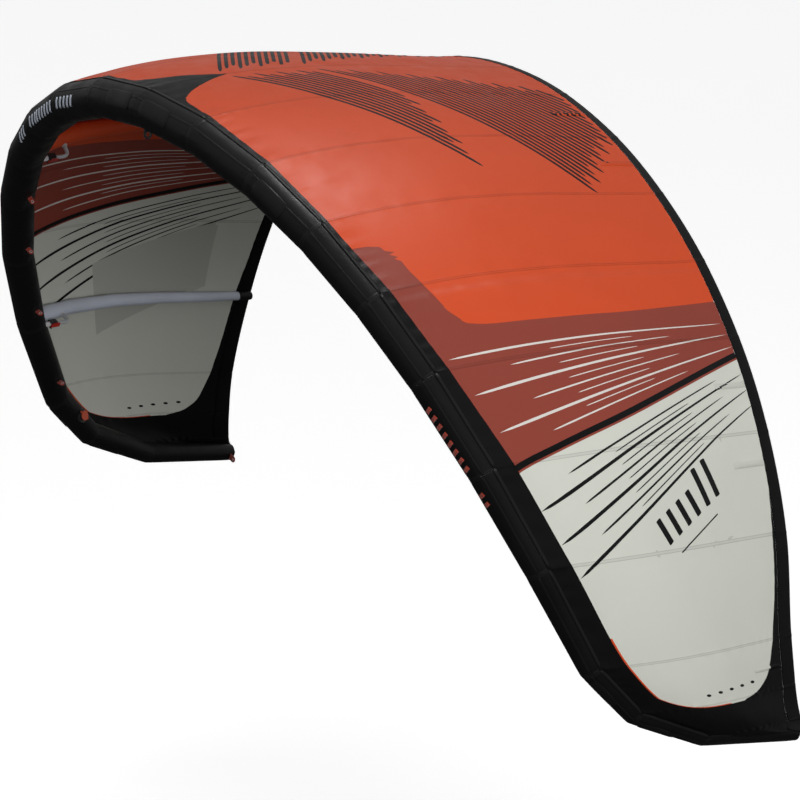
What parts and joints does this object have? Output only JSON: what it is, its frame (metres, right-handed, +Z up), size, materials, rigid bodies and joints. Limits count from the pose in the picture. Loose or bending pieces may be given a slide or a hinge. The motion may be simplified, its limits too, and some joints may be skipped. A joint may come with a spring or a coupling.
{
  "type": "kitesurf kite",
  "caption": "Inflatable-leading-edge kitesurf kite: arched sewn canopy on a tapered tube with struts, valves, hoses with clips, bridle tabs and a centre tether eye.",
  "frame": {"origin": "centre of the tether eye under the middle of the leading edge", "axes": "+X along the span to the right wing tip, +Y from the leading edge to the trailing edge, +Z up towards the top of the arch, kite in its inflated flying shape"},
  "size_m": [3.7644, 1.9044, 2.1869],
  "materials": {
    "canopy_orange": "matt coated ripstop cloth, orange red",
    "canopy_dark_red": "matt coated ripstop cloth, dark red",
    "canopy_white": "matt coated ripstop cloth, light grey white",
    "black_cloth": "heavy black cloth, satin",
    "tube_cloth": "dense woven polyester, black, satin",
    "strut_cloth": "dense woven polyester, pale grey, satin",
    "bladder_film": "thin polyurethane film, glossy",
    "batten_plastic": "thin flexible plastic under cloth, matt",
    "scuff_cloth": "rough abrasion cloth, matt",
    "red_webbing": "woven webbing, matt",
    "black_webbing": "woven webbing, matt",
    "valve_plastic": "moulded plastic, satin",
    "cap_plastic": "moulded plastic, satin",
    "flap_rubber": "soft flap, matt",
    "hose_plastic": "soft reinforced hose, satin",
    "elbow_plastic": "welded moulded fitting, satin",
    "clip_plastic": "moulded plastic, satin",
    "lever_plastic": "moulded plastic, satin",
    "zip_cloth": "woven tape with a coil, matt",
    "zip_metal": "cast zinc, satin",
    "tip_cloth": "heavy black cloth, matt"
  },
  "bodies": {
    "kite": {"canopy_centre": "canopy_orange", "canopy_mid_right": "canopy_dark_red", "canopy_mid_left": "canopy_dark_red", "canopy_tip_right": "canopy_white", "canopy_tip_left": "canopy_white", "te_band_right": "black_cloth", "te_band_left": "black_cloth", "te_battens": "batten_plastic", "centre_spur_patch": "black_cloth", "le_sleeve_right": "tube_cloth", "le_sleeve_left": "tube_cloth", "le_bladder": "bladder_film", "strut_centre": "tube_cloth", "strut_inner_right": "canopy_orange", "strut_inner_left": "canopy_orange", "strut_outer_right": "strut_cloth", "strut_outer_left": "strut_cloth", "strut_bladder_centre": "bladder_film", "strut_bladder_inner_right": "bladder_film", "strut_bladder_inner_left": "bladder_film", "strut_bladder_outer_right": "bladder_film", "strut_bladder_outer_left": "bladder_film", "strut_tail_pads": "scuff_cloth", "bridle_tabs_right": "red_webbing", "bridle_tabs_left": "red_webbing", "bridle_patches": "scuff_cloth", "rear_tab_right": "red_webbing", "rear_tab_left": "red_webbing", "tether_tab": "black_webbing", "inflate_valve_body": "valve_plastic", "dump_valve_body": "valve_plastic", "one_pump_hoses": "hose_plastic", "hose_elbows": "elbow_plastic", "clip_bodies": "clip_plastic", "zip_tape": "zip_cloth", "scuff_pads": "scuff_cloth", "tip_cap_right": "tip_cloth", "tip_cap_left": "tip_cloth"},
    "inflate_cap": {"inflate_valve_cap": "cap_plastic"},
    "check_flap": {"inflate_check_flap": "flap_rubber"},
    "dump_cap": {"dump_valve_cap": "cap_plastic"},
    "clip_centre": {"clip_lever_centre": "lever_plastic"},
    "clip_inner_right": {"clip_lever_inner_right": "lever_plastic"},
    "clip_inner_left": {"clip_lever_inner_left": "lever_plastic"},
    "clip_outer_right": {"clip_lever_outer_right": "lever_plastic"},
    "clip_outer_left": {"clip_lever_outer_left": "lever_plastic"},
    "zip_pull": {"zip_slider": "zip_metal"},
    "tip_flap_right": {"tip_flap_right": "tip_cloth"},
    "tip_flap_left": {"tip_flap_left": "tip_cloth"}
  },
  "joints": [
    {"name": "inflate_cap_hinge", "type": "hinge", "parent": "kite", "child": "inflate_cap", "pos_m": [0.13897, 0.0767, 0.00734], "axis": [0.0186, 0.7415, 0.6707], "range_deg": [0, 110]},
    {"name": "check_flap_hinge", "type": "hinge", "parent": "kite", "child": "check_flap", "pos_m": [0.15034, 0.06929, 0.01522], "axis": [-0.0186, -0.7415, -0.6707], "range_deg": [0, 20], "stiffness_Nm_per_rad": 0.002},
    {"name": "dump_cap_hinge", "type": "hinge", "parent": "kite", "child": "dump_cap", "pos_m": [-1.71564, 0.94729, -1.64108], "axis": [0.3916, -0.6041, -0.694], "range_deg": [0, 110]},
    {"name": "clip_centre_hinge", "type": "hinge", "parent": "kite", "child": "clip_centre", "pos_m": [0, 0.0934, 0.05636], "axis": [-1, 0, 0], "range_deg": [0, 70]},
    {"name": "clip_inner_right_hinge", "type": "hinge", "parent": "kite", "child": "clip_inner_right", "pos_m": [1.10161, 0.30741, -0.38477], "axis": [-0.7375, 0, 0.6754], "range_deg": [0, 70]},
    {"name": "clip_inner_left_hinge", "type": "hinge", "parent": "kite", "child": "clip_inner_left", "pos_m": [-1.10161, 0.30741, -0.38477], "axis": [-0.7375, 0, -0.6754], "range_deg": [0, 70]},
    {"name": "clip_outer_right_hinge", "type": "hinge", "parent": "kite", "child": "clip_outer_right", "pos_m": [1.63032, 0.71859, -1.2274], "axis": [-0.312, 0, 0.9501], "range_deg": [0, 70]},
    {"name": "clip_outer_left_hinge", "type": "hinge", "parent": "kite", "child": "clip_outer_left", "pos_m": [-1.63032, 0.71859, -1.2274], "axis": [-0.312, 0, -0.9501], "range_deg": [0, 70]},
    {"name": "zip_slide", "type": "slide", "parent": "kite", "child": "zip_pull", "axis": [-0.946, 0.1471, -0.289], "range_m": [0, 0.24]},
    {"name": "tip_flap_right_hinge", "type": "hinge", "parent": "kite", "child": "tip_flap_right", "pos_m": [1.79638, 1.79505, -1.94961], "axis": [-0.2717, 0.1199, 0.9549], "range_deg": [0, 100]},
    {"name": "tip_flap_left_hinge", "type": "hinge", "parent": "kite", "child": "tip_flap_left", "pos_m": [-1.79638, 1.79505, -1.94961], "axis": [-0.2717, -0.1199, -0.9549], "range_deg": [0, 100]}
  ]
}
